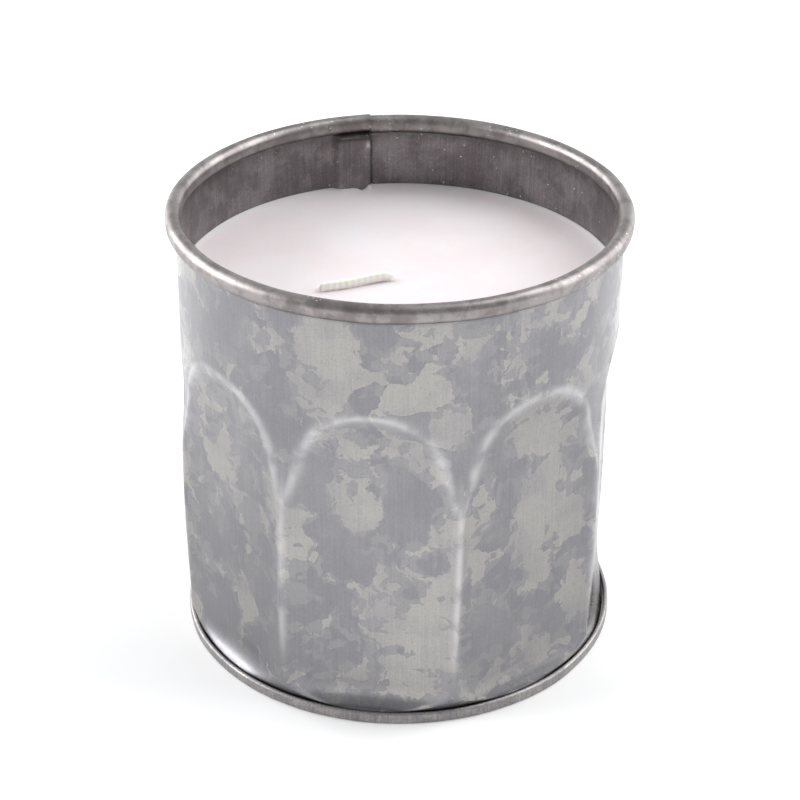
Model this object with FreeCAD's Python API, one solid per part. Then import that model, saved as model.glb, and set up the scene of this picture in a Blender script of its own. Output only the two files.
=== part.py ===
import FreeCAD, Part
import math
import os

# A candle poured in a round galvanised steel tin.  All sizes are in millimetres.
# +Z is up and the origin is the centre of the foot, on the surface that the tin stands on.
# Angles round the tin are in degrees, counted from -Y (the front) towards +X.

# Overall sizes
tin_height = 81.4            # foot to the top of the rolled rim
rim_radius = 40.0            # outside of the rolled rim
sheet = 0.30                 # thickness of the steel sheet

# Rolled rim: the sheet's top edge curled outwards into a bead
curl_width = 2.7
curl_height = 3.3
curl_overhang = 1.6          # how far the bead stands outside the wall
curl_slit = 0.25             # gap between the curl's edge and the wall

# Pressed panels with arched heads
panel_count = 8
first_ridge_angle = 15.0     # where the first ridge between two panels stands
panel_depth = 1.92           # middle of a flat panel, inside the round wall
ridge_land = 0.08            # how much the sharp meeting of two panels is rounded off
arch_top_drop = 20.9         # top of an arch, below the rim
arch_rise = 12.0             # height over which the arch runs out to the round wall
ridge_top_drop = 10.0        # ridges begin this far below the arch top
ridge_rise = 12.5            # height over which a ridge grows to its full reach
panel_foot_height = 1.4      # the wall is round again below this height
panel_foot_rise = 5.0        # height over which a panel runs out at its foot

# Folded side seam, proud on the inside
seam_angle = 192.6
seam_width = 5.4
seam_gap = 0.10              # compound between the folded layers
seam_top_clearance = 0.6     # the fold stops this far below the curl

# Base plate folded over the wall's foot flange
hem_height = 2.1
hem_reach = 0.9              # how far the fold stands outside the wall
hem_round = 0.25             # rounding of the fold's outer edges
lip_clearance = 0.25         # between the wall and the fold's top layer
flange_clearance = 0.15      # between the wall's foot flange and the fold's outside
base_lift = 1.0              # the base's middle is raised by this much
base_foot_width = 1.2        # flat foot ring inside the wall
base_step_width = 0.9        # sloping step from the foot ring to the raised middle

# Wick holder
sticker_radius = 10.0
sticker_thickness = 0.6
tab_radius = 10.0
tab_sheet = 0.25
neck_height = 6.0
neck_wall = 0.3
wick_radius = 0.75

# Wax
wax_edge_drop = 13.9         # wax level at the wall, below the rim
wax_dip = 0.5                # the middle is lower by this much

# Sizes worked out from the values above
wall_radius = rim_radius - curl_overhang
panel_flat = wall_radius - panel_depth
half_pitch = 180.0 / panel_count
arch_top = tin_height - arch_top_drop
arch_start = arch_top - arch_rise
ridge_top = arch_top - ridge_top_drop
panel_foot_start = panel_foot_height + panel_foot_rise
curl_radius = curl_width / 2.0
curl_centre_radius = rim_radius - curl_radius
curl_low_centre = tin_height - curl_height + curl_radius
curl_high_centre = tin_height - curl_radius
hem_radius = wall_radius + hem_reach
hem_inner = hem_radius - sheet
lip_inner = wall_radius + lip_clearance
flange_radius = hem_inner - flange_clearance
flange_bottom = (hem_height - sheet) / 2.0
seam_bottom = hem_height
seam_top = tin_height - curl_height - seam_top_clearance
base_foot_inner = wall_radius - sheet - base_foot_width
base_step_inner = base_foot_inner - base_step_width
base_top = base_lift + sheet
sticker_top = base_top + sticker_thickness
tab_top = sticker_top + tab_sheet
wax_edge = tin_height - wax_edge_drop
wax_middle = wax_edge - wax_dip

# The wick's route: up from the tab through the wax, then bent over and laid on the wax
wick_route = [
    (0.0, 0.0, sticker_top),
    (0.0, 0.0, sticker_top + 10.1),
    (-0.5, -0.4, wax_middle - 38.9),
    (-1.1, -0.6, wax_middle - 20.9),
    (-1.2, -0.9, wax_middle - 8.9),
    (-1.3, -1.0, wax_middle - 3.1),
    (-1.4, -1.1, wax_middle + 0.9),
    (-5.0, -2.3, wax_middle + 0.85),
    (-9.2, -4.3, wax_middle + 0.6),
    (-13.5, -5.5, wax_middle + 0.65),
]

Vector = FreeCAD.Vector
axis_point = Vector(0, 0, 0)
up = Vector(0, 0, 1)


def point(radius, height):
    """A point of a turned outline, in the XZ plane."""
    return Vector(radius, 0, height)


def line(start, end):
    return Part.LineSegment(start, end).toShape()


def arc(start, middle, end):
    return Part.Arc(start, middle, end).toShape()


def outline(corners):
    """A closed outline of straight lines, as a face in the XZ plane."""
    return Part.Face(Part.makePolygon([point(*corner) for corner in corners + corners[:1]]))


def turned(face):
    """The solid that a face in the XZ plane sweeps in one turn about the tin's axis."""
    return face.revolve(axis_point, up, 360)


def turn_to(shape, angle):
    """Turns a shape made along +X to stand at an angle round the tin."""
    copy = shape.copy()
    copy.rotate(axis_point, up, angle - 90.0)
    return copy


def ridge_radius(inset):
    """How far out two neighbouring panels meet, with both moved in by inset."""
    return (panel_flat - inset) / math.cos(math.radians(half_pitch)) - ridge_land


def round_body(inset):
    """The unpressed body, wide where the ridges are, moved in by inset."""
    wall = wall_radius - inset
    ridge = ridge_radius(inset)
    return turned(outline([
        (0, flange_bottom),
        (wall, flange_bottom),
        (wall, panel_foot_height),
        (ridge, panel_foot_start),
        (ridge, ridge_top - ridge_rise),
        (wall, ridge_top),
        (wall, curl_low_centre - curl_radius + sheet),
        (0, curl_low_centre - curl_radius + sheet),
    ]))


def run_out(rise, start_height, inset, direction):
    """Three points of the arc by which a panel runs out, up (1) or down (-1), past the ridges."""
    radius = (rise ** 2 + panel_depth ** 2) / (2.0 * panel_depth)
    centre = panel_flat + radius
    far = ridge_radius(0.0) + 1.0
    full_turn = math.acos((centre - far) / (radius + inset))
    points = []
    for turn in (0.0, full_turn / 2.0, full_turn):
        across = centre - (radius + inset) * math.cos(turn)
        along = start_height + direction * (radius + inset) * math.sin(turn)
        points.append(point(across, along))
    return points


def panel_cutter(inset, angle):
    """What one panel takes off the round body."""
    head = run_out(arch_rise, arch_start, inset, 1)
    foot = run_out(panel_foot_rise, panel_foot_start, inset, -1)
    edges = [
        line(foot[0], head[0]),
        arc(*head),
        line(head[2], foot[2]),
        arc(foot[2], foot[1], foot[0]),
    ]
    half_width = 1.5 * panel_flat * math.tan(math.radians(half_pitch))
    face = Part.Face(Part.Wire(edges))
    face.translate(Vector(0, -half_width, 0))
    return turn_to(face.extrude(Vector(0, 2.0 * half_width, 0)), angle)


def tin_body(inset):
    """The solid inside the wall's outer surface, moved in by inset."""
    angles = [first_ridge_angle + (2 * n + 1) * half_pitch for n in range(panel_count)]
    return round_body(inset).cut([panel_cutter(inset, angle) for angle in angles])


def wedge(start_angle, end_angle, low, high):
    """A narrow wedge of space about the tin's axis."""
    reach = 2.0 * rim_radius
    corners = [Vector(0, 0, low)]
    for angle in (start_angle, end_angle):
        turn = math.radians(angle)
        corners.append(Vector(reach * math.sin(turn), -reach * math.cos(turn), low))
    base = Part.Face(Part.makePolygon(corners + corners[:1]))
    return base.extrude(Vector(0, 0, high - low))


# The folded side seam.  From outside in, its four layers are the right-hand edge's run, the
# left-hand edge's return, the right-hand edge's return and the left-hand edge's run.

layer = sheet + seam_gap
seam_depth = 4.0 * sheet + 3.0 * seam_gap
seam_body_insets = [0.0, sheet / 2.0, seam_depth]
for count in range(3):
    seam_body_insets.append(sheet + count * layer)
    seam_body_insets.append((count + 1) * layer)
bodies = {inset: tin_body(inset) for inset in seam_body_insets}


def seam_degrees(length):
    """The angle that a length along the wall takes up."""
    return math.degrees(length / wall_radius)


seam_right = seam_angle - seam_degrees(seam_width) / 2.0
seam_left = seam_angle + seam_degrees(seam_width) / 2.0


def seam_piece(outer_inset, inner_inset, start_angle, end_angle):
    """A stretch of space between two depths below the wall's outer surface, along the seam."""
    space = wedge(start_angle, end_angle, seam_bottom, seam_top)
    return bodies[outer_inset].common(space).cut(bodies[inner_inset])


def seam_rib():
    joggle = seam_degrees(sheet + seam_gap)
    return seam_piece(sheet / 2.0, seam_depth, seam_right, seam_left + joggle)


def side_seam_seal():
    """The S-shaped film of compound between the two folded edges."""
    gaps = [(sheet + n * layer, (n + 1) * layer) for n in range(3)]
    fold = seam_degrees(sheet)
    film = seam_degrees(seam_gap)
    runs = [
        seam_piece(*gaps[0], seam_right, seam_left - fold),
        seam_piece(gaps[0][0], gaps[1][1], seam_left - fold - film, seam_left - fold),
        seam_piece(*gaps[1], seam_right + fold, seam_left - fold),
        seam_piece(gaps[1][0], gaps[2][1], seam_right + fold, seam_right + fold + film),
        seam_piece(*gaps[2], seam_right + fold, seam_left + film),
        seam_piece(0.0, gaps[2][1], seam_left, seam_left + film),
    ]
    return runs[0].fuse(runs[1:]).removeSplitter()


def curl_outline(inset):
    """The rim bead's oval section, moved in by inset."""
    radius = curl_radius - inset
    inner = curl_centre_radius - radius
    outer = curl_centre_radius + radius
    edges = [
        arc(point(outer, curl_high_centre), point(curl_centre_radius, curl_high_centre + radius),
            point(inner, curl_high_centre)),
        line(point(inner, curl_high_centre), point(inner, curl_low_centre)),
        arc(point(inner, curl_low_centre), point(curl_centre_radius, curl_low_centre - radius),
            point(outer, curl_low_centre)),
        line(point(outer, curl_low_centre), point(outer, curl_high_centre)),
    ]
    return Part.Face(Part.Wire(edges))


def rim_curl():
    """The hollow bead, open by a slit beside the wall."""
    bead = turned(curl_outline(0.0)).cut(turned(curl_outline(sheet)))
    slit = outline([
        (wall_radius, curl_low_centre - curl_radius - 1.0),
        (wall_radius + curl_slit, curl_low_centre - curl_radius - 1.0),
        (wall_radius + curl_slit, curl_low_centre - curl_radius / 2.0),
        (wall_radius, curl_low_centre - curl_radius / 2.0),
    ])
    return bead.cut(turned(slit))


def foot_flange():
    return turned(outline([
        (wall_radius - sheet, flange_bottom),
        (flange_radius, flange_bottom),
        (flange_radius, flange_bottom + sheet),
        (wall_radius - sheet, flange_bottom + sheet),
    ]))


def tin_wall(seal):
    shell = bodies[0.0].cut(bodies[sheet])
    return shell.fuse([rim_curl(), foot_flange(), seam_rib()]).cut(seal).removeSplitter()


def base_plate():
    """A disc with a raised middle, a flat foot ring and an edge folded over the flange."""
    plate = turned(outline([
        (0, base_lift),
        (base_step_inner, base_lift),
        (base_foot_inner, 0),
        (hem_radius, 0),
        (hem_radius, hem_height),
        (lip_inner, hem_height),
        (lip_inner, hem_height - sheet),
        (hem_inner, hem_height - sheet),
        (hem_inner, sheet),
        (base_foot_inner, sheet),
        (base_step_inner, base_top),
        (0, base_top),
    ]))
    outer_edges = [
        edge for edge in plate.Edges
        if abs(edge.BoundBox.XMax - hem_radius) < 1e-6 and edge.BoundBox.ZLength < 1e-6
        and edge.BoundBox.XLength > hem_radius
    ]
    return plate.makeFillet(hem_round, outer_edges)


def base_seam_seal():
    """Compound that fills the fold round the wall's foot flange."""
    return turned(outline([
        (wall_radius - sheet, sheet),
        (hem_inner, sheet),
        (hem_inner, hem_height - sheet),
        (lip_inner, hem_height - sheet),
        (lip_inner, flange_bottom + sheet),
        (flange_radius, flange_bottom + sheet),
        (flange_radius, flange_bottom),
        (wall_radius - sheet, flange_bottom),
    ]))


def wick_sticker():
    return turned(outline([
        (0, base_top),
        (sticker_radius, base_top),
        (sticker_radius, sticker_top),
        (0, sticker_top),
    ]))


def wick_sustainer():
    """A round steel tab with a neck crimped on the wick."""
    return turned(outline([
        (wick_radius, sticker_top),
        (tab_radius, sticker_top),
        (tab_radius, tab_top),
        (wick_radius + neck_wall, tab_top),
        (wick_radius + neck_wall, tab_top + neck_height),
        (wick_radius, tab_top + neck_height),
    ]))


def rounded_path(corners):
    """Straight runs joined by tangent arcs, each as large as its two runs allow."""
    edges = []
    radii = []
    start = corners[0]
    for before, corner, after in zip(corners, corners[1:], corners[2:]):
        back = before - corner
        ahead = after - corner
        turn = math.pi - back.getAngle(ahead)
        cut = 0.45 * min(back.Length, ahead.Length)
        radii.append(cut / math.tan(turn / 2.0))
        arc_start = corner + back.normalize() * cut
        arc_end = corner + ahead.normalize() * cut
        to_centre = (back + ahead).normalize()
        sag = cut * math.cos(turn / 2.0) * math.tan(turn / 4.0)
        across = (arc_start + arc_end) / 2.0
        edges.append(line(start, arc_start))
        edges.append(arc(arc_start, across - to_centre * sag, arc_end))
        start = arc_end
    edges.append(line(start, corners[-1]))
    return Part.Wire(edges), radii


def wick():
    corners = [Vector(*corner) for corner in wick_route]
    path, radii = rounded_path(corners)
    section = Part.Wire([Part.Circle(corners[0], corners[1] - corners[0], wick_radius).toShape()])
    tube = path.makePipeShell([section], True, False)
    expected = math.pi * wick_radius ** 2 * path.Length
    print("wick length %.1f mm, radii %s mm" % (path.Length, [round(value, 1) for value in radii]))
    print("wick volume over section times length: %.4f" % (tube.Volume / expected))
    return tube


def wax_fill(around):
    """The poured wax: it fills the tin up to its dished top and wraps round what it holds."""
    inner_wall = wall_radius - sheet
    well = turned(outline([
        (0, sheet),
        (inner_wall, sheet),
        (inner_wall, flange_bottom + sheet),
        (0, flange_bottom + sheet),
    ]))
    below_base = turned(outline([
        (0, 0),
        (inner_wall, 0),
        (inner_wall, sheet),
        (base_foot_inner, sheet),
        (base_step_inner, base_top),
        (0, base_top),
    ]))
    reach = wall_radius
    sphere = (reach ** 2 + wax_dip ** 2) / (2.0 * wax_dip)
    half_way = reach / 2.0
    half_rise = sphere - math.sqrt(sphere ** 2 - half_way ** 2)
    edges = [
        arc(point(0, wax_middle), point(half_way, wax_middle + half_rise), point(reach, wax_edge)),
        line(point(reach, wax_edge), point(reach, tin_height)),
        line(point(reach, tin_height), point(0, tin_height)),
        line(point(0, tin_height), point(0, wax_middle)),
    ]
    air = turned(Part.Face(Part.Wire(edges)))
    return bodies[sheet].fuse(well).cut([air, below_base] + around).removeSplitter()


def export(node, shape):
    """Writes one sub-part, after a look at whether it is one whole solid."""
    print("%-16s solids %d  valid %s  volume %.2f mm3" % (
        node, len(shape.Solids), shape.isValid(), shape.Volume))
    shape.exportStep("parts/%s.step" % node)


os.makedirs("parts", exist_ok=True)

seal = side_seam_seal()
wall = tin_wall(seal)
base = base_plate()
foot_seal = base_seam_seal()
sticker = wick_sticker()
sustainer = wick_sustainer()
cotton = wick()
wax = wax_fill([seam_rib(), sticker, sustainer, cotton])

export("tin_wall", wall)
export("base_plate", base)
export("base_seam_seal", foot_seal)
export("side_seam_seal", seal)
export("wax_fill", wax)
export("wick", cotton)
export("wick_sustainer", sustainer)
export("wick_sticker", sticker)
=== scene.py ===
import math

import bpy
import numpy as np
from mathutils import Matrix, Vector


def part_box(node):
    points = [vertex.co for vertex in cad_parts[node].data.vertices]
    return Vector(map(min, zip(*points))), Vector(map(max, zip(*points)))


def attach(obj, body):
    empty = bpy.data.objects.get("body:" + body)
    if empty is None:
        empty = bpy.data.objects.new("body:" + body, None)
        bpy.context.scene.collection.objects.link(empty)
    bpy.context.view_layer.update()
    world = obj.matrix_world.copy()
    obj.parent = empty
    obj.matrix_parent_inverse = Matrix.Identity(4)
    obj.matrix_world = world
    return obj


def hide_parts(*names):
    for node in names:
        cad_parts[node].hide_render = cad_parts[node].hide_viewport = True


# A candle poured in a round galvanised tin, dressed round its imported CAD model.
# Lengths are in metres.  Angles round the tin are in degrees, from -Y (the front) towards +X.

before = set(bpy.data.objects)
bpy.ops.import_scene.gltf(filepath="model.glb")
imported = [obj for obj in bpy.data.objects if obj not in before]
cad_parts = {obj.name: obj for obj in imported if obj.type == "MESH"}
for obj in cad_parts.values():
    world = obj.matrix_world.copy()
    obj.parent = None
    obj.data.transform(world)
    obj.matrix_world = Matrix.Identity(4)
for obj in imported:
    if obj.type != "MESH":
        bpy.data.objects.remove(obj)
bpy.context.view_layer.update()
MM = 0.001

# Places read from the CAD model
tin_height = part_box("tin_wall")[1].z
rim_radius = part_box("tin_wall")[1].x
hem_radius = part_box("base_plate")[1].x
hem_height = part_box("base_plate")[1].z
wax_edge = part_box("wax_fill")[1].z
neck_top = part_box("wick_sustainer")[1].z
tab_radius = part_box("wick_sustainer")[1].x
seal_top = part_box("side_seam_seal")[1].z

# Sheet and rolled rim
sheet = 0.30 * MM
wall_radius = rim_radius - 1.6 * MM
bead_height = 3.3 * MM
bead_half_width = 1.35 * MM
bead_centre = rim_radius - bead_half_width
bead_low = tin_height - bead_height + bead_half_width
bead_high = tin_height - bead_half_width
bead_lap_angle = 188.3
bead_lap_rise = 0.42 * MM
bead_lap_fade = 26.0

# Pressed panels
panel_count = 8
half_pitch = 180.0 / panel_count
first_ridge = 15.0
panel_flat = 36.40 * MM
arch_top = tin_height - 20.9 * MM
arch_start = arch_top - 12.0 * MM
panel_foot = 1.4 * MM
panel_foot_top = 6.4 * MM
ridge_reach = 1.15 * MM
ridge_top = 51.5 * MM
ridge_full = 37.0 * MM
ridge_rounding = 0.08 * MM
crease_rounding = 0.30 * MM
crease_rise = 0.20 * MM
crease_width = 0.26 * MM
flare_rise = 0.34 * MM
flare_angle = 5.0
twist_per_metre = 28.6
twist_middle = 25.0 * MM
twist_offset = -0.4
# Width of the pale lines along arch creases and ridges: partly wear, partly painted highlight
wear_highlight_width = 0.34 * MM
wear_highlight_angle = 1.0

# Painted shade on the wall, a pale line along the seam's soft edge (partly wear, partly painted highlight)
# and a painted highlight spot at the seam's corner
seam_line_share = 0.55
seam_spot_share = 2.6
spot_drop = 1.0 * MM
spot_width = 0.7
spot_height = 0.7 * MM
bead_shade = 0.80
bead_shade_inside = 0.50
bead_shade_reach = 0.45 * MM
bead_shade_reach_inside = 1.20 * MM
foot_shade = 0.55
foot_shade_reach = 0.25 * MM
corner_shade_width = 0.60
top_shade = 0.15
top_shade_width = 3.6

# Folded side seam
seam_right = 188.57
seam_left = 196.63
seam_depth = 1.2 * MM
seam_groove = 0.15
seam_groove_depth = 0.12 * MM
seam_crevice = 0.5
seam_softness = 3.2

# Foot
flange_low = 0.9 * MM
flange_high = 1.2 * MM
flange_radius = hem_radius - 0.45 * MM
base_lift = 1.0 * MM
base_foot_inner = 36.9 * MM
base_step_inner = 36.0 * MM
hem_round = 0.42 * MM

# Wax
wax_dip = 0.5 * MM
wax_meniscus = 0.35 * MM
wax_meniscus_width = 1.3 * MM

# Wick
wick_radius = 0.75 * MM
wick_bore = 0.80 * MM
wick_route = [
    (0.0, 0.0, 1.9),
    (0.0, 0.0, 12.0),
    (-0.5, -0.4, 28.1),
    (-1.1, -0.6, 46.1),
    (-1.2, -0.9, 58.1),
    (-1.3, -1.0, 63.9),
    (-1.4, -1.1, 67.9),
    (-5.0, -2.3, 67.85),
    (-9.2, -4.3, 67.6),
    (-13.5, -5.5, 67.65),
]

random = np.random.default_rng(8)


# ---------------------------------------------------------------- meshes

def smooth_ramp(value, low, high):
    """0 below low, 1 above high, and an even S-curve between."""
    t = np.clip((value - low) / (high - low), 0.0, 1.0)
    return t * t * (3.0 - 2.0 * t)


def soft_min(a, b, rounding):
    return (a + b - np.sqrt((a - b) ** 2 + rounding ** 2)) / 2.0


def on_tin(angle, radius, height):
    """Points from angles, radii and heights, as one array."""
    turn = np.radians(angle)
    angle, radius, height = np.broadcast_arrays(turn, radius, height)
    return np.stack([radius * np.sin(turn), -radius * np.cos(turn), height], axis=-1)


def waves(angle, height, count, shortest, longest):
    """Gentle unevenness of a sheet: a sum of plane waves round the tin, between about -1 and 1."""
    total = np.zeros(np.broadcast(angle, height).shape)
    around = 2.0 * math.pi * wall_radius
    for _ in range(count):
        turns = random.integers(1, int(around / shortest))
        rise = random.uniform(-1.0, 1.0) / random.uniform(shortest, longest)
        phase = random.uniform(0.0, 2.0 * math.pi)
        total = total + np.sin(np.radians(angle) * turns + 2.0 * math.pi * rise * height + phase)
    return total / math.sqrt(count)


def mesh_object(name, points, faces, body="root"):
    mesh = bpy.data.meshes.new(name)
    mesh.from_pydata(points.reshape(-1, 3), [], faces)
    mesh.shade_smooth()
    made = bpy.data.objects.new(name, mesh)
    bpy.context.scene.collection.objects.link(made)
    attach(made, body)
    return made


def grid_faces(rows, columns, close_rows):
    """Quads of a grid whose columns close on themselves, and whose rows may."""
    row_count = rows if close_rows else rows - 1
    row = np.arange(row_count)[:, None]
    column = np.arange(columns)[None, :]
    next_row = (row + 1) % rows
    next_column = (column + 1) % columns
    corners = [
        row * columns + column,
        row * columns + next_column,
        next_row * columns + next_column,
        next_row * columns + column,
    ]
    return np.stack(corners, axis=-1).reshape(-1, 4).tolist()


def attribute(made, name, values):
    layer = made.data.attributes.new(name, "FLOAT", "POINT")
    layer.data.foreach_set("value", np.ravel(values).astype(np.float32))


def sharpen(made, angle):
    made.data.set_sharp_from_angle(angle=math.radians(angle))


# ---------------------------------------------------------------- tin wall

def panel_distance(height):
    """How far a panel's flat stands from the axis: it runs out in an arc at its head and foot."""
    depth = wall_radius - panel_flat
    total = panel_flat
    for rise, along in (
        (arch_top - arch_start, height - arch_start),
        (panel_foot_top - panel_foot, panel_foot_top - height),
    ):
        radius = (rise ** 2 + depth ** 2) / (2.0 * depth)
        along = np.clip(along, 0.0, 0.98 * radius)
        total = total + radius - np.sqrt(radius ** 2 - along ** 2)
    return total


def body_radius(height):
    """The round body between the panels, a little wider where the ridges are."""
    grown = smooth_ramp(height, panel_foot, panel_foot_top)
    grown = grown * (1.0 - smooth_ramp(height, ridge_full, ridge_top))
    return wall_radius + ridge_reach * grown


def panel_sides(angle, height):
    """The angle past a ridge, and the radii of the panel there and of the one next to it."""
    front = (1.0 + np.cos(np.radians(angle))) / 2.0
    lean = twist_offset + twist_per_metre * (np.minimum(height, arch_start) - twist_middle)
    across = (angle - first_ridge - lean * front) % (2.0 * half_pitch)
    distance = panel_distance(height)
    own = np.radians(across - half_pitch)
    other = np.radians(np.where(across < half_pitch, across + half_pitch, across - 3.0 * half_pitch))
    return across, distance / np.cos(own), distance / np.cos(other)


def outer_radius(angle, height):
    """The wall's outside, with its panels, ridges and the raised creases between them."""
    across, low_side, far_side = panel_sides(angle, height)
    ridge_gap = np.minimum(across, 2.0 * half_pitch - across)
    standing = 1.0 - smooth_ramp(height, ridge_full, arch_start)
    standing = standing * smooth_ramp(height, panel_foot_top, 3.0 * panel_foot_top)
    flare = flare_rise * np.clip(1.0 - ridge_gap / flare_angle, 0.0, 1.0) ** 2 * standing
    panels = soft_min(low_side, far_side, ridge_rounding) + flare
    body = body_radius(height)
    crease = crease_rise * np.exp(-((panels - body) / crease_width) ** 2)
    crease = crease * smooth_ramp(height, panel_foot_top, 4.0 * panel_foot_top)
    return soft_min(body, panels, crease_rounding) + crease


def edge_wear_and_highlight(angle, height):
    """How near each point is to a ridge or to an arch's crease, where the zinc is painted pale: partly rubbed
    bright by wear, partly a painted highlight.
    """
    across, low_side, far_side = panel_sides(angle, height)
    panels = np.minimum(low_side, far_side)
    arch = np.exp(-((panels - body_radius(height)) / wear_highlight_width) ** 2)
    arch = arch * smooth_ramp(height, ridge_full, arch_start)
    arch = arch * (1.0 - smooth_ramp(height, arch_top, arch_top + 1.5 * MM))
    ridge_gap = np.minimum(across, 2.0 * half_pitch - across)
    ridge = np.exp(-(ridge_gap / wear_highlight_angle) ** 2)
    ridge = ridge * smooth_ramp(height, panel_foot_top, 3.0 * panel_foot_top)
    ridge = ridge * (1.0 - smooth_ramp(height, ridge_full, ridge_top))
    return np.maximum(arch, ridge)


def seam_fold(angle, height):
    """How proud the folded seam stands inside the wall: a sharp edge on one side, a soft one on the other."""
    soft_edge = seam_left + 1.5 * seam_groove
    fold = (angle >= seam_right) * (1.0 - smooth_ramp(angle, soft_edge, soft_edge + seam_softness))
    fold = fold * (1.0 - 0.35 * smooth_ramp(height, seal_top, tin_height - bead_height))
    crevice = (angle < seam_right) & (angle > seam_right - seam_crevice)
    return (seam_depth * fold - seam_groove_depth * crevice) * (height > hem_height)


def seam_wear_and_highlight(angle, height):
    """A pale line along the seam's soft edge, partly wear and partly painted highlight, and a painted
    highlight spot where its corner meets the bead.
    """
    line = np.exp(-((angle - seam_left - 0.9) / 0.7) ** 2) * (height < seal_top)
    across = (angle - seam_right - 0.6) / spot_width
    down = (height - seal_top + spot_drop) / spot_height
    return seam_line_share * line + seam_spot_share * np.exp(-across ** 2 - down ** 2)


def painted_shade(angle, height, inside):
    """Painted shade where shade falls: under the bead, in the seam's corner, along the seam's top inside and
    over the foot fold.
    """
    reach = bead_shade_reach + (bead_shade_reach_inside - bead_shade_reach) * inside
    share = bead_shade + (bead_shade_inside - bead_shade) * inside
    total = share * np.exp(-((height - tin_height + bead_height) / reach) ** 2)
    over_foot = np.exp(-((height - hem_height) / foot_shade_reach) ** 2)
    total = total + foot_shade * over_foot * (1.0 - inside)
    corner = np.exp(-((angle - seam_right + 0.25) / corner_shade_width) ** 2)
    total = total + corner * inside * (height < seal_top + spot_drop)
    top = np.exp(-((height - seal_top - 0.2 * MM) / (0.7 * MM)) ** 2) * inside
    total = total + top_shade * top * np.exp(-((angle - seam_right - 2.0) / top_shade_width) ** 2)
    return np.clip(total, 0.0, 1.0)


def wall_columns():
    """Angles of the wall's columns: even, and closer together at ridges and at the seam's edges."""
    angles = list(np.arange(0.0, 360.0, 0.5))
    for count in range(panel_count):
        ridge = first_ridge + 2.0 * half_pitch * count
        angles += list(ridge + np.arange(-1.6, 1.61, 0.16))
    for edge in (seam_right, seam_right - seam_crevice, seam_left, bead_lap_angle):
        angles += [edge - 0.12, edge - 0.02, edge, edge + 0.02, edge + 0.12]
    groove_end = seam_left + seam_groove
    angles += [groove_end, groove_end + 0.02]
    angles = np.unique(np.round(np.array(angles) % 360.0, 3))
    return angles[np.append(np.diff(angles) > 0.011, True)]


def bead_arc(inset, start, end, count):
    """Part of the bead's oval section, by the angle from straight up, clockwise."""
    turn = np.radians(np.linspace(start, end, count))
    radius = bead_half_width - inset
    lift = np.where(np.cos(turn) >= 0.0, bead_high, bead_low)
    return bead_centre + radius * np.sin(turn), lift + radius * np.cos(turn)


def wall_heights():
    """Heights of the rows up the outside, close together where the panels run out."""
    bead_foot = tin_height - bead_height + 0.25 * MM
    return np.concatenate([
        np.linspace(flange_high, 8.0 * MM, 22, endpoint=False),
        np.linspace(8.0 * MM, 34.0 * MM, 22, endpoint=False),
        np.linspace(34.0 * MM, 62.0 * MM, 84, endpoint=False),
        np.linspace(62.0 * MM, bead_foot, 16),
    ])


def bead_swell(angles):
    """The bead stands proud on one side of the seam, where the sheet laps over, and settles down."""
    past = (angles - bead_lap_angle) % 360.0
    return bead_lap_rise * np.exp(-past / bead_lap_fade) * (past < 180.0)


def wall_rows(angles):
    """The wall's section as rows of radius, height, inside share and bead share."""
    rows = []
    wobble = 0.05 * MM * waves(angles, 0.0, 9, 14.0 * MM, 60.0 * MM)
    for height in wall_heights():
        radius = outer_radius(angles, height)
        dents = 0.045 * MM * dent_field(angles, height)
        held = smooth_ramp(height, panel_foot, 4.0 * panel_foot_top)
        held = held * smooth_ramp(tin_height - height, bead_height, 12.0 * MM)
        groove = (angles > seam_left) & (angles < seam_left + seam_groove + 0.01)
        rows.append((radius + dents * held - groove * seam_groove_depth, height, 0.0, 0.0))
    swell = bead_swell(angles)
    for radius, height in zip(*bead_arc(sheet, 200.0, 530.0, 22)):
        rows.append((radius + wobble + swell * 0.6, height + swell * 0.4, 0.0, 1.0))
    for radius, height in zip(*bead_arc(0.0, 172.0, -150.0, 44)):
        rows.append((radius + wobble + swell * 0.6, height + swell * 0.4, 0.0, 1.0))
    inner_heights = np.concatenate([
        np.linspace(tin_height - bead_height + 0.05 * MM, seal_top, 5, endpoint=False),
        np.linspace(seal_top, wax_edge - 2.0 * MM, 20),
        np.linspace(wax_edge - 4.0 * MM, flange_low, 40),
    ])
    for height in inner_heights:
        bulge = 0.05 * MM * dent_field(angles, height)
        radius = outer_radius(angles, height) - sheet - seam_fold(angles, height)
        rows.append((radius + bulge, height, 1.0, 0.0))
    for radius, height in ((flange_radius, flange_low), (flange_radius, flange_high)):
        rows.append((radius + 0.0 * angles, height, 1.0, 0.0))
    return rows


def dent_field(angles, height):
    """The same slow unevenness for the sheet's two sides."""
    total = 0.0
    for turns, per_metre, phase in dent_waves:
        total = total + np.sin(np.radians(angles) * turns + 2.0 * math.pi * per_metre * height + phase)
    return total / math.sqrt(len(dent_waves))


dent_waves = [
    (int(random.integers(1, 17)), random.uniform(-45.0, 45.0), random.uniform(0.0, 6.28))
    for _ in range(14)
]
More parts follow.
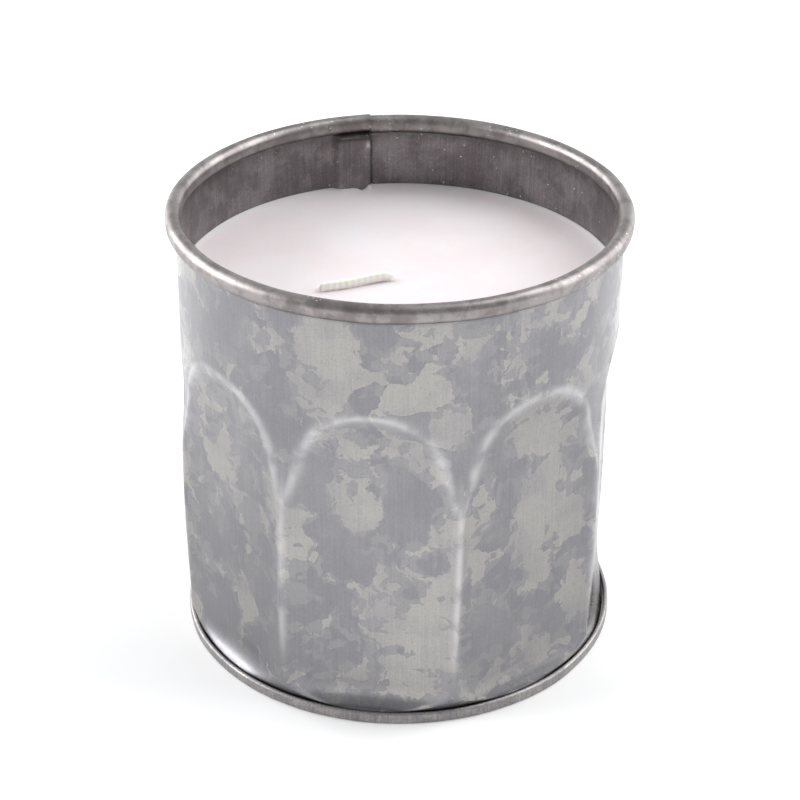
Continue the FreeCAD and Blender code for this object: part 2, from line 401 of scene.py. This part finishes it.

# Stains of the zinc on the front: angle, height, half width, half height
# in millimetres, and how light (above 0) or dark (below 0) each is.
stains = [
    (-10.0, 40.0, 4.2, 5.0, 1.0), (-12.0, 56.0, 3.6, 2.8, 0.9), (-11.0, 59.2, 2.6, 0.9, -1.0),
    (0.0, 50.0, 3.4, 9.0, -0.9), (7.0, 51.5, 2.2, 4.6, 0.8), (-5.0, 24.5, 3.5, 4.8, 0.8),
    (0.0, 15.0, 6.5, 5.0, 0.9), (0.0, 10.0, 7.0, 0.9, -0.8), (-19.0, 32.0, 3.0, 12.0, -0.5),
    (24.0, 35.0, 4.0, 5.0, 1.0), (30.0, 38.0, 1.6, 9.0, -0.9), (38.0, 26.0, 2.6, 11.0, 0.9),
    (35.0, 47.5, 2.2, 1.6, -0.9), (13.0, 67.5, 2.4, 2.2, -1.0), (19.5, 64.0, 4.4, 2.8, -1.0),
    (-27.0, 65.0, 5.0, 3.4, -0.8), (-50.0, 68.0, 7.0, 4.6, -0.7), (-3.0, 70.0, 9.0, 7.0, 0.6),
    (8.0, 33.0, 3.0, 5.0, -0.6), (48.0, 40.0, 3.0, 14.0, 0.5), (-45.0, 30.0, 5.0, 14.0, 0.3),
    (-7.5, 32.0, 11.0, 18.0, -0.35), (-20.0, 72.0, 12.0, 6.0, 0.5), (25.0, 72.0, 12.0, 4.0, 0.4),
]


def stain_field(angles, heights):
    """How light or dark the listed stains make each point."""
    total = np.zeros(np.broadcast(angles, heights).shape)
    for angle, height, half_width, half_height, tone in stains:
        turn = (angles - angle + 180.0) % 360.0 - 180.0
        across = np.radians(turn) * wall_radius / (half_width * MM)
        along = (heights - height * MM) / (half_height * MM)
        total = total + tone * np.exp(-(across ** 2 + along ** 2))
    return total


def tin_wall():
    angles = wall_columns()
    rows = wall_rows(angles)
    radii = np.array([row[0] for row in rows])
    heights = np.array([row[1] + 0.0 * angles for row in rows])
    made = mesh_object(
        "tin_wall_skin",
        on_tin(angles[None, :], radii, heights),
        grid_faces(len(rows), len(angles), True),
    )
    attribute(made, "inside", [row[2] + 0.0 * angles for row in rows])
    attribute(made, "bead", [row[3] + 0.0 * angles for row in rows])
    attribute(made, "stain", stain_field(angles[None, :], heights))
    inside = np.array([row[2] + 0.0 * angles for row in rows])
    # Pale marks: partly wear and partly painted highlight along creases, ridges and the seam's soft edge; a
    # painted highlight spot at the seam's corner
    wear_and_highlight = edge_wear_and_highlight(angles[None, :], heights) * (1.0 - inside) + seam_wear_and_highlight(angles[None, :], heights) * inside
    attribute(made, "wear_and_highlight", wear_and_highlight)
    # Painted shade under the bead, in the seam's corner and over the foot fold
    attribute(made, "painted_shade", painted_shade(angles[None, :], heights, inside))
    sharpen(made, 40.0)
    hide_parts("tin_wall")
    return made


# ---------------------------------------------------------------- base

def rounded_corner(radius, height, round_radius, start, count=5):
    """Quarter circle about a centre, from an angle above the outward direction, turning down."""
    turns = np.radians(np.linspace(start, start - 90.0, count))
    return [(radius + round_radius * math.cos(t), height + round_radius * math.sin(t)) for t in turns]


def base_hem():
    """The base: raised middle, foot ring, and the fold that grips the wall's foot."""
    lip = wall_radius + 0.25 * MM
    inner = hem_radius - sheet
    section = [(r * base_step_inner / 6.0, base_lift + sheet) for r in range(1, 7)]
    section += [(base_foot_inner, sheet), (inner, sheet), (inner, hem_height - sheet)]
    section += [(lip, hem_height - sheet), (lip, hem_height - 0.08 * MM), (lip + 0.08 * MM, hem_height)]
    outer = hem_radius - hem_round
    section += rounded_corner(outer, hem_height - hem_round, hem_round, 90.0)
    section += rounded_corner(outer, hem_round, hem_round, 0.0)
    section += [(base_foot_inner, 0.0)]
    section += [(r * base_step_inner / 6.0, base_lift) for r in range(6, 0, -1)]
    angles = np.arange(0.0, 360.0, 0.75)
    rolling = waves(angles, 0.0, 10, 9.0 * MM, 30.0 * MM)
    points = []
    for radius, height in section:
        outside = smooth_ramp(np.full_like(angles, radius), base_foot_inner, hem_radius)
        lifted = smooth_ramp(np.full_like(angles, height), 0.5 * MM, hem_height)
        radius = radius + 0.05 * MM * rolling * outside
        points.append(on_tin(angles, radius, height + 0.04 * MM * rolling * lifted))
    points = np.array(points)
    columns = len(angles)
    top, under = points[0].mean(axis=0), points[-1].mean(axis=0)
    faces = grid_faces(len(section), columns, False)
    flat = points.reshape(-1, 3)
    last = len(flat) - columns
    for column in range(columns):
        following = (column + 1) % columns
        faces.append((len(flat), following, column))
        faces.append((len(flat) + 1, last + column, last + following))
    made = mesh_object("base_hem", np.vstack([flat, top, under]), faces)
    sharpen(made, 40.0)
    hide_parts("base_plate")
    return made


# ---------------------------------------------------------------- wick and wax

def wick_line():
    """The wick's smooth line, read from a NURBS curve through its route."""
    curve = bpy.data.curves.new("wick_route", "CURVE")
    curve.dimensions = "3D"
    curve.resolution_u = 24
    spline = curve.splines.new("NURBS")
    spline.points.add(len(wick_route) - 1)
    for place, control in zip(wick_route, spline.points):
        control.co = (place[0] * MM, place[1] * MM, place[2] * MM, 1.0)
    spline.order_u = 3
    spline.use_endpoint_u = True
    holder = bpy.data.objects.new("wick_route", curve)
    bpy.context.scene.collection.objects.link(holder)
    bpy.context.view_layer.update()
    line = bpy.data.meshes.new_from_object(holder)
    points = np.array([v.co for v in line.vertices])
    bpy.data.objects.remove(holder)
    bpy.data.meshes.remove(line)
    return points


def even_line(points, spacing):
    """The same line with points an even distance apart."""
    lengths = np.append(0.0, np.cumsum(np.linalg.norm(np.diff(points, axis=0), axis=1)))
    places = np.linspace(0.0, lengths[-1], int(lengths[-1] / spacing))
    return np.stack([np.interp(places, lengths, points[:, k]) for k in range(3)], axis=-1), places


def wick_braid(line):
    """A flat-braided cotton wick: strands cross in a slant pattern, and the end is cut askew."""
    path, places = even_line(line, 0.09 * MM)
    forward = np.gradient(path, axis=0)
    forward /= np.linalg.norm(forward, axis=1, keepdims=True)
    sideways = np.cross(forward, np.array([0.35, -1.0, 0.12]))
    for row in range(1, len(path)):
        carried = sideways[row - 1] - forward[row] * (sideways[row - 1] @ forward[row])
        sideways[row] = carried / np.linalg.norm(carried)
    sideways[0] /= np.linalg.norm(sideways[0])
    upward = np.cross(sideways, forward)
    around = np.linspace(0.0, 2.0 * math.pi, 40, endpoint=False)[None, :]
    along = places[:, None]
    plait = np.sin(3.0 * around + along / (0.36 * MM)) * np.sin(3.0 * around - along / (0.36 * MM))
    ends = smooth_ramp(places[-1] - along, -0.3 * MM, 0.5 * MM)
    radius = wick_radius * (1.0 + 0.09 * plait) * (0.55 + 0.45 * ends)
    radius = radius * (1.0 + 0.05 * np.sin(along / (2.3 * MM)))
    width = 1.15 * radius * np.cos(around)
    depth = 1.00 * radius * np.sin(around)
    skew = smooth_ramp(along, places[-1] - 1.2 * MM, places[-1]) * 0.75
    points = path[:, None, :] + width[..., None] * sideways[:, None, :]
    points = points + depth[..., None] * upward[:, None, :]
    points = points + (skew * depth)[..., None] * forward[:, None, :]
    rows, columns = len(path), around.size
    flat = np.vstack([points.reshape(-1, 3), points[0].mean(axis=0), points[-1].mean(axis=0)])
    faces = grid_faces(rows, columns, False)
    last = (rows - 1) * columns
    for column in range(columns):
        following = (column + 1) % columns
        faces.append((rows * columns, following, column))
        faces.append((rows * columns + 1, last + column, last + following))
    made = mesh_object("wick_braid", flat, faces)
    attribute(made, "along", np.append(np.repeat(places / places[-1], columns), [0.0, 1.0]))
    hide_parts("wick")
    return made


def wax_top(angles, radius, edge):
    """Height of the wax: dished, creeping up at the wall, faintly uneven."""
    dish = wax_edge - wax_dip * (1.0 - (radius / edge) ** 2)
    creep = wax_meniscus * np.exp(-(edge - radius) / wax_meniscus_width * 2.2)
    turn = np.radians(angles)
    uneven = np.sin(radius / (3.1 * MM) + 1.7 * np.sin(turn)) + np.sin(radius / (5.3 * MM) - 2.0 * turn + 1.0)
    peak = 0.55 * MM * np.exp(-((angles - seam_right - 0.5) / 0.7) ** 2)
    notch = 0.55 * MM * np.exp(-((angles - seam_right - 2.8) / 1.3) ** 2)
    by_seam = (peak - notch) * np.exp(-(edge - radius) / (0.5 * MM))
    return dish + creep + by_seam + 0.035 * MM * uneven * smooth_ramp(edge - radius, 0.0, 6.0 * MM)


def wax_surface(line):
    """The poured wax as one closed solid, with a bore for the wick and a socket for its holder."""
    angles = wall_columns()
    turn = np.radians(angles)
    fold = seam_fold(angles, wax_edge)
    gap = 0.02 * MM
    bore_heights = np.linspace(neck_top + 0.1 * MM, wax_edge - wax_dip - 0.2 * MM, 40)
    rows = []
    for height in bore_heights:
        centre = [np.interp(height, line[:, 2], line[:, k]) for k in range(2)]
        rows.append(np.stack([
            centre[0] + wick_bore * np.sin(turn),
            centre[1] - wick_bore * np.cos(turn),
            height + 0.0 * turn,
        ], axis=-1))
    mouth = rows[-1][:, :2].mean(axis=0)
    edge = outer_radius(angles, wax_edge) - sheet - fold - gap
    for share in np.concatenate([np.linspace(0.0, 0.9, 60), np.linspace(0.91, 1.0, 24)]):
        radius = wick_bore + share * (edge - wick_bore)
        ring = on_tin(angles, radius, wax_top(angles, radius, edge))
        ring[:, 0] += mouth[0] * (1.0 - share) ** 2
        ring[:, 1] += mouth[1] * (1.0 - share) ** 2
        rows.append(ring)
    for height in np.linspace(wax_edge - 0.6 * MM, hem_height, 50):
        rows.append(on_tin(angles, outer_radius(angles, height) - sheet - fold - gap, height))
    base_top = base_lift + sheet + gap
    for radius, height in (
        (wall_radius - sheet - gap, flange_high),
        (wall_radius - sheet - gap, sheet + gap),
        (base_foot_inner, sheet + gap),
        (base_step_inner, base_top),
        (tab_radius + gap, base_top),
        (tab_radius + gap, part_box("wick_sustainer")[0].z + 0.27 * MM),
        (1.07 * MM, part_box("wick_sustainer")[0].z + 0.27 * MM),
        (1.07 * MM, neck_top + gap),
        (wick_bore, neck_top + gap),
    ):
        rows.append(on_tin(angles, radius + 0.0 * angles, height))
    made = mesh_object("wax_surface", np.array(rows), grid_faces(len(rows), len(angles), True))
    sharpen(made, 45.0)
    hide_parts("wax_fill")
    return made


# ---------------------------------------------------------------- node helpers

def new_material(name):
    material = bpy.data.materials.new(name)
    material.use_nodes = True
    return material, material.node_tree, material.node_tree.nodes["Principled BSDF"]


def node(tree, kind, inputs=(), **settings):
    """Adds a node, sets it up, and gives each input a value or a link."""
    made = tree.nodes.new(kind)
    for name, value in settings.items():
        setattr(made, name, value)
    for name, value in dict(inputs).items():
        if isinstance(value, bpy.types.NodeSocket):
            tree.links.new(value, made.inputs[name])
        else:
            made.inputs[name].default_value = value
    return made


def maths(tree, operation, first, second=0.0, clamp=False):
    made = node(tree, "ShaderNodeMath", {0: first, 1: second}, operation=operation, use_clamp=clamp)
    return made.outputs[0]


def ramp(tree, value, low, high, start=0.0, end=1.0):
    """Runs smoothly from start to end as value goes from low to high."""
    inputs = {"Value": value, "From Min": low, "From Max": high, "To Min": start, "To Max": end}
    return node(tree, "ShaderNodeMapRange", inputs, interpolation_type="SMOOTHSTEP").outputs[0]


def blend(tree, share, first, second, mode="MIX"):
    inputs = {0: share, 6: first, 7: second}
    return node(tree, "ShaderNodeMix", inputs, data_type="RGBA", blend_type=mode).outputs[2]


def noise(tree, place, scale, detail=4.0, roughness=0.55, distortion=0.0):
    inputs = {
        "Vector": place, "Scale": scale, "Detail": detail, "Roughness": roughness,
        "Distortion": distortion,
    }
    return node(tree, "ShaderNodeTexNoise", inputs).outputs["Fac"]


def millimetres(tree):
    """The point's place in millimetres."""
    place = node(tree, "ShaderNodeTexCoord").outputs["Object"]
    inputs = {0: place, "Scale": 1000.0}
    return node(tree, "ShaderNodeVectorMath", inputs, operation="SCALE").outputs[0]


def stretched(tree, place, x, y, z):
    inputs = {0: place, 1: (x, y, z)}
    return node(tree, "ShaderNodeVectorMath", inputs, operation="MULTIPLY").outputs[0]


def warped(tree, place, scale, reach):
    """Places pushed about by a noise, so that edges come out ragged."""
    inputs = {"Vector": place, "Scale": scale, "Detail": 3.0}
    push = node(tree, "ShaderNodeTexNoise", inputs).outputs["Color"]
    inputs = {0: push, 1: (0.5, 0.5, 0.5)}
    push = node(tree, "ShaderNodeVectorMath", inputs, operation="SUBTRACT").outputs[0]
    inputs = {0: push, "Scale": reach}
    push = node(tree, "ShaderNodeVectorMath", inputs, operation="SCALE").outputs[0]
    return node(tree, "ShaderNodeVectorMath", {0: place, 1: push}, operation="ADD").outputs[0]


def bump(tree, height, strength, distance):
    inputs = {"Height": height, "Strength": strength, "Distance": distance}
    return node(tree, "ShaderNodeBump", inputs).outputs[0]


def named(tree, name):
    return node(tree, "ShaderNodeAttribute", attribute_name=name).outputs["Fac"]


def finish_material(tree, shader, colour, roughness, normal=None):
    tree.links.new(colour, shader.inputs["Base Color"])
    tree.links.new(roughness, shader.inputs["Roughness"])
    if normal is not None:
        tree.links.new(normal, shader.inputs["Normal"])


# ---------------------------------------------------------------- materials

zinc_dark = (0.234, 0.233, 0.249, 1.0)
zinc_mid = (0.276, 0.271, 0.280, 1.0)
zinc_light = (0.352, 0.340, 0.327, 1.0)
# Pale colour of the worn edges and painted highlights
zinc_wear_highlight = (0.680, 0.675, 0.680, 1.0)
zinc_outline = (0.225, 0.220, 0.225, 1.0)
# Dark colour of the painted shade
painted_shade_dark = (0.050, 0.046, 0.044, 1.0)
inside_dark = (0.155, 0.140, 0.144, 1.0)
inside_light = (0.220, 0.204, 0.208, 1.0)
bead_dark = (0.220, 0.200, 0.196, 1.0)
bead_light = (0.340, 0.318, 0.312, 1.0)
speck_white = (0.700, 0.690, 0.680, 1.0)
stain_edge = 0.628


def stained_zinc(tree, place, stain):
    """Zinc with crisp-edged light and dark stains: its colour, and how light each spot is."""
    ragged = warped(tree, warped(tree, place, 0.18, 5.5), 0.9, 1.1)
    cells = node(tree, "ShaderNodeTexVoronoi", {"Vector": ragged, "Scale": 0.19}).outputs["Color"]
    flakes = node(tree, "ShaderNodeTexVoronoi", {"Vector": ragged, "Scale": 0.46}).outputs["Color"]
    level = maths(tree, "MULTIPLY", noise(tree, ragged, 0.085, 3.0, 0.55), 0.80)
    for picked, share in ((cells, 0.22), (flakes, 0.15)):
        value = node(tree, "ShaderNodeSeparateColor", {0: picked}).outputs[0]
        level = maths(tree, "ADD", level, maths(tree, "MULTIPLY", value, share))
    level = maths(tree, "ADD", level, maths(tree, "MULTIPLY", stain, 0.15))
    light = ramp(tree, level, stain_edge, stain_edge + 0.006)
    dark = ramp(tree, level, 0.575, 0.520)
    strength = ramp(tree, noise(tree, place, 0.13, 4.0), 0.35, 0.60, 0.45, 1.0)
    outline = maths(tree, "ABSOLUTE", maths(tree, "SUBTRACT", level, stain_edge))
    outline = ramp(tree, outline, 0.008, 0.001)
    outline = maths(tree, "MULTIPLY", outline, maths(tree, "MULTIPLY", strength, 0.55))
    swirl = noise(tree, warped(tree, place, 0.5, 4.0), 0.45, 2.0, 0.5)
    swirl = ramp(tree, maths(tree, "ABSOLUTE", maths(tree, "SUBTRACT", swirl, 0.5)), 0.012, 0.003, 0.0, 0.30)
    colour = blend(tree, maths(tree, "MULTIPLY", dark, strength), zinc_mid, zinc_dark)
    colour = blend(tree, maths(tree, "MULTIPLY", light, strength), colour, zinc_light)
    colour = blend(tree, maths(tree, "MAXIMUM", outline, swirl), colour, zinc_outline)
    return colour, maths(tree, "SUBTRACT", light, dark)


def worn(tree, place, colour, amount=0.10):
    """Fine speckle and up-and-down brushing over a colour."""
    speckle = ramp(tree, noise(tree, place, 3.2, 3.0, 0.7), 0.3, 0.7, 1.0 - amount, 1.0 + amount)
    brushed = noise(tree, stretched(tree, place, 2.6, 2.6, 0.07), 1.0, 3.0, 0.6)
    brushed = ramp(tree, brushed, 0.3, 0.7, 1.0 - 0.7 * amount, 1.0 + 0.7 * amount)
    value = maths(tree, "MULTIPLY", speckle, brushed)
    colour = node(tree, "ShaderNodeVectorMath", {0: colour, "Scale": value}, operation="SCALE")
    return colour.outputs[0], value


def specks(tree, place, scale, size):
    """Small scattered white specks."""
    inputs = {"Vector": place, "Scale": scale, "Randomness": 1.0}
    cells = node(tree, "ShaderNodeTexVoronoi", inputs)
    rare = ramp(tree, noise(tree, place, 0.21, 2.0), 0.52, 0.62)
    return maths(tree, "MULTIPLY", ramp(tree, cells.outputs["Distance"], size, 0.5 * size), rare)


def wall_zinc():
    material, tree, shader = new_material("wall_zinc")
    place = millimetres(tree)
    colour, tone = stained_zinc(tree, place, named(tree, "stain"))
    colour, fine = worn(tree, place, colour, 0.06)
    inner = ramp(tree, noise(tree, warped(tree, place, 0.3, 5.0), 0.16, 5.0, 0.6), 0.40, 0.60)
    inner = blend(tree, inner, inside_dark, inside_light)
    inner = blend(tree, specks(tree, place, 0.9, 0.16), inner, speck_white)
    inner, _ = worn(tree, place, inner, 0.16)
    inside = named(tree, "inside")
    colour = blend(tree, inside, colour, inner)
    # Pale lines on creases, ridges and the seam's edge, partly wear and partly painted highlight, and the
    # painted highlight spot at the seam's corner, patchy by noise
    rubbed_highlight = ramp(tree, noise(tree, place, 0.16, 2.0), 0.36, 0.60, 0.12, 0.46)
    colour = blend(tree, maths(tree, "MULTIPLY", named(tree, "wear_and_highlight"), rubbed_highlight), colour, zinc_wear_highlight)
    rolled = ramp(tree, noise(tree, warped(tree, place, 0.4, 3.0), 0.22, 5.0, 0.65), 0.38, 0.62)
    rolled = blend(tree, rolled, bead_dark, bead_light)
    rolled = blend(tree, specks(tree, place, 1.3, 0.22), rolled, speck_white)
    bead = named(tree, "bead")
    colour = blend(tree, bead, colour, rolled)
    # Painted shade under the bead, in the seam's corner and over the foot fold, patchy by noise
    shade_patchiness = ramp(tree, noise(tree, place, 0.7, 4.0), 0.25, 0.55, 0.45, 0.9)
    colour = blend(tree, maths(tree, "MULTIPLY", named(tree, "painted_shade"), shade_patchiness), colour, painted_shade_dark)
    roughness = ramp(tree, tone, -1.0, 1.0, 0.32, 0.24)
    roughness = maths(tree, "ADD", roughness, maths(tree, "MULTIPLY", inside, 0.08))
    roughness = maths(tree, "ADD", roughness, maths(tree, "MULTIPLY", bead, 0.14))
    height = maths(tree, "ADD", maths(tree, "MULTIPLY", tone, 0.25), fine)
    shader.inputs["Metallic"].default_value = 1.0
    finish_material(tree, shader, colour, roughness, bump(tree, height, 0.25, 0.05 * MM))
    return material


def base_zinc():
    material, tree, shader = new_material("base_zinc")
    place = millimetres(tree)
    colour, tone = stained_zinc(tree, place, 0.0)
    colour = blend(tree, 0.5, colour, bead_light)
    colour, fine = worn(tree, place, colour, 0.2)
    colour = blend(tree, specks(tree, place, 1.1, 0.16), colour, speck_white)
    shader.inputs["Metallic"].default_value = 1.0
    roughness = ramp(tree, tone, -1.0, 1.0, 0.58, 0.46)
    finish_material(tree, shader, colour, roughness, bump(tree, fine, 0.3, 0.06 * MM))
    return material


def candle_wax():
    material, tree, shader = new_material("candle_wax")
    place = millimetres(tree)
    cloud = ramp(tree, noise(tree, place, 0.06, 4.0, 0.5), 0.35, 0.65)
    colour = blend(tree, cloud, (0.90, 0.815, 0.830, 1.0), (0.94, 0.870, 0.880, 1.0))
    bloom = ramp(tree, noise(tree, warped(tree, place, 0.2, 4.0), 0.5, 6.0, 0.7), 0.45, 0.75)
    colour = blend(tree, maths(tree, "MULTIPLY", bloom, 0.25), colour, (0.93, 0.89, 0.89, 1.0))
    fine = noise(tree, place, 1.1, 5.0, 0.6)
    slow = noise(tree, place, 0.10, 2.0, 0.5)
    height = maths(tree, "ADD", maths(tree, "MULTIPLY", fine, 0.06), slow)
    shader.inputs["Subsurface Weight"].default_value = 0.6
    shader.inputs["Subsurface Radius"].default_value = (1.0, 0.75, 0.70)
    shader.inputs["Subsurface Scale"].default_value = 1.6 * MM
    shader.inputs["IOR"].default_value = 1.44
    roughness = ramp(tree, fine, 0.3, 0.7, 0.38, 0.50)
    finish_material(tree, shader, colour, roughness, bump(tree, height, 0.35, 0.5 * MM))
    return material


def wick_cotton():
    material, tree, shader = new_material("wick_cotton_waxed")
    place = millimetres(tree)
    patch = ramp(tree, noise(tree, place, 0.55, 4.0, 0.6), 0.4, 0.6)
    colour = blend(tree, patch, (0.97, 0.93, 0.84, 1.0), (0.98, 0.96, 0.92, 1.0))
    fibre = noise(tree, warped(tree, place, 2.0, 0.5), 5.0, 4.0, 0.7)
    colour = blend(tree, ramp(tree, fibre, 0.50, 0.30, 0.0, 0.22), colour, (0.78, 0.68, 0.53, 1.0))
    # Darker over the last bit of the wick, at its cut end
    dark_cut_end = ramp(tree, named(tree, "along"), 0.994, 1.0, 0.0, 0.35)
    colour = blend(tree, dark_cut_end, colour, (0.20, 0.16, 0.13, 1.0))
    shader.inputs["Subsurface Weight"].default_value = 0.3
    shader.inputs["Subsurface Scale"].default_value = 0.5 * MM
    roughness = ramp(tree, fibre, 0.3, 0.7, 0.55, 0.75)
    finish_material(tree, shader, colour, roughness, bump(tree, fibre, 0.6, 0.08 * MM))
    return material


def tab_steel():
    material, tree, shader = new_material("tab_steel")
    place = millimetres(tree)
    tint = ramp(tree, noise(tree, place, 0.4, 5.0, 0.6), 0.35, 0.65)
    colour = blend(tree, tint, (0.42, 0.42, 0.43, 1.0), (0.58, 0.58, 0.57, 1.0))
    scratch = noise(tree, stretched(tree, place, 0.3, 5.0, 0.3), 1.0, 3.0, 0.6)
    shader.inputs["Metallic"].default_value = 1.0
    roughness = ramp(tree, scratch, 0.3, 0.7, 0.24, 0.42)
    finish_material(tree, shader, colour, roughness, bump(tree, scratch, 0.2, 0.04 * MM))
    return material


def sticker_glue():
    material, tree, shader = new_material("sticker_glue")
    place = millimetres(tree)
    foam = node(tree, "ShaderNodeTexVoronoi", {"Vector": place, "Scale": 2.6}).outputs["Distance"]
    colour = blend(tree, ramp(tree, foam, 0.1, 0.6), (0.62, 0.60, 0.55, 1.0), (0.78, 0.76, 0.72, 1.0))
    roughness = ramp(tree, foam, 0.1, 0.6, 0.70, 0.85)
    finish_material(tree, shader, colour, roughness, bump(tree, foam, 0.5, 0.08 * MM))
    return material


def seam_compound():
    material, tree, shader = new_material("seam_compound")
    place = millimetres(tree)
    grain = noise(tree, place, 1.8, 5.0, 0.65)
    colour = blend(tree, ramp(tree, grain, 0.35, 0.65), (0.10, 0.095, 0.09, 1.0), (0.21, 0.20, 0.19, 1.0))
    roughness = ramp(tree, grain, 0.3, 0.7, 0.45, 0.65)
    finish_material(tree, shader, colour, roughness, bump(tree, grain, 0.4, 0.06 * MM))
    return material


def dress(made, material):
    """Gives a piece its one material, in all of its slots."""
    if not made.material_slots:
        made.data.materials.append(material)
    for place in made.material_slots:
        place.material = material


# ---------------------------------------------------------------- stage

camera_lens = 96.17
camera_place = Vector((0.0, -0.3332, 0.2328))
camera_pitch = math.radians(90.0 - 29.75)
camera_yaw = -0.0004
camera_roll = 0.0038

floor_half = 8.0
floor_glow = 0.09
sky_colour = (0.97, 0.98, 1.0, 1.0)
sky_front = 0.50
sky_back = 1.05
sky_overhead = 0.70
tin_middle = (0.0, 0.0, 0.03)
tin_upper = (0.0, 0.0, 0.06)


def camera():
    data = bpy.data.cameras.new("camera")
    data.lens = camera_lens
    data.sensor_width = 36.0
    data.clip_start = 0.01
    made = bpy.data.objects.new("camera", data)
    bpy.context.scene.collection.objects.link(made)
    turn = Matrix.Rotation(camera_yaw, 4, "Z") @ Matrix.Rotation(camera_pitch, 4, "X")
    made.matrix_world = Matrix.Translation(camera_place) @ turn @ Matrix.Rotation(camera_roll, 4, "Z")
    bpy.context.scene.camera = made


def floor():
    """A pale floor that glows slightly, so that its far part stays pale too."""
    half = floor_half
    corners = np.array([(-half, -half, 0.0), (half, -half, 0.0), (half, half, 0.0), (-half, half, 0.0)])
    mesh = bpy.data.meshes.new("floor")
    mesh.from_pydata(corners, [], [(0, 1, 2, 3)])
    made = bpy.data.objects.new("floor", mesh)
    bpy.context.scene.collection.objects.link(made)
    material, tree, shader = new_material("floor_paper")
    grain = noise(tree, millimetres(tree), 0.02, 3.0)
    colour = blend(tree, grain, (0.93, 0.93, 0.93, 1.0), (0.95, 0.95, 0.95, 1.0))
    finish_material(tree, shader, colour, ramp(tree, grain, 0.0, 1.0, 0.85, 0.95))
    shader.inputs["Specular IOR Level"].default_value = 0.1
    shader.inputs["Emission Color"].default_value = (1.0, 1.0, 1.0, 1.0)
    shader.inputs["Emission Strength"].default_value = floor_glow
    mesh.materials.append(material)


def softbox(name, place, target, width, height, power):
    data = bpy.data.lights.new(name, "AREA")
    data.shape = "RECTANGLE"
    data.size = width
    data.size_y = height
    data.energy = power
    made = bpy.data.objects.new(name, data)
    bpy.context.scene.collection.objects.link(made)
    made.location = place
    made.rotation_euler = (Vector(target) - Vector(place)).to_track_quat("-Z", "Y").to_euler()


def lights():
    world = bpy.data.worlds.new("world")
    bpy.context.scene.world = world
    world.use_nodes = True
    tree = world.node_tree
    towards = node(tree, "ShaderNodeTexCoord").outputs["Generated"]
    parts = node(tree, "ShaderNodeSeparateXYZ", {0: towards})
    back = ramp(tree, parts.outputs["Y"], -0.90, 0.70, sky_front, sky_back)
    low = ramp(tree, parts.outputs["Z"], 0.15, 0.75, 1.0, sky_overhead)
    sky = tree.nodes["Background"]
    sky.inputs["Color"].default_value = sky_colour
    tree.links.new(maths(tree, "MULTIPLY", back, low), sky.inputs["Strength"])
    softbox("top_light", (0.44, 0.08, 0.64), tin_upper, 0.5, 0.5, 2.3)
    softbox("left_light", (-1.02, 0.24, 0.42), tin_middle, 1.2, 0.78, 17.0)
    softbox("right_light", (1.02, 0.30, 0.42), tin_middle, 1.2, 0.78, 8.0)
    scene = bpy.context.scene
    scene.view_settings.view_transform = "Standard"
    scene.view_settings.look = "None"


# ---------------------------------------------------------------- the scene

camera()
line = wick_line()
dress(wick_braid(line), wick_cotton())
dress(tin_wall(), wall_zinc())
dress(base_hem(), base_zinc())
dress(wax_surface(line), candle_wax())
dress(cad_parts["wick_sustainer"], tab_steel())
dress(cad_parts["wick_sticker"], sticker_glue())
compound = seam_compound()
for name in ("base_seam_seal", "side_seam_seal"):
    dress(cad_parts[name], compound)
floor()
lights()

bpy.context.view_layer.update()
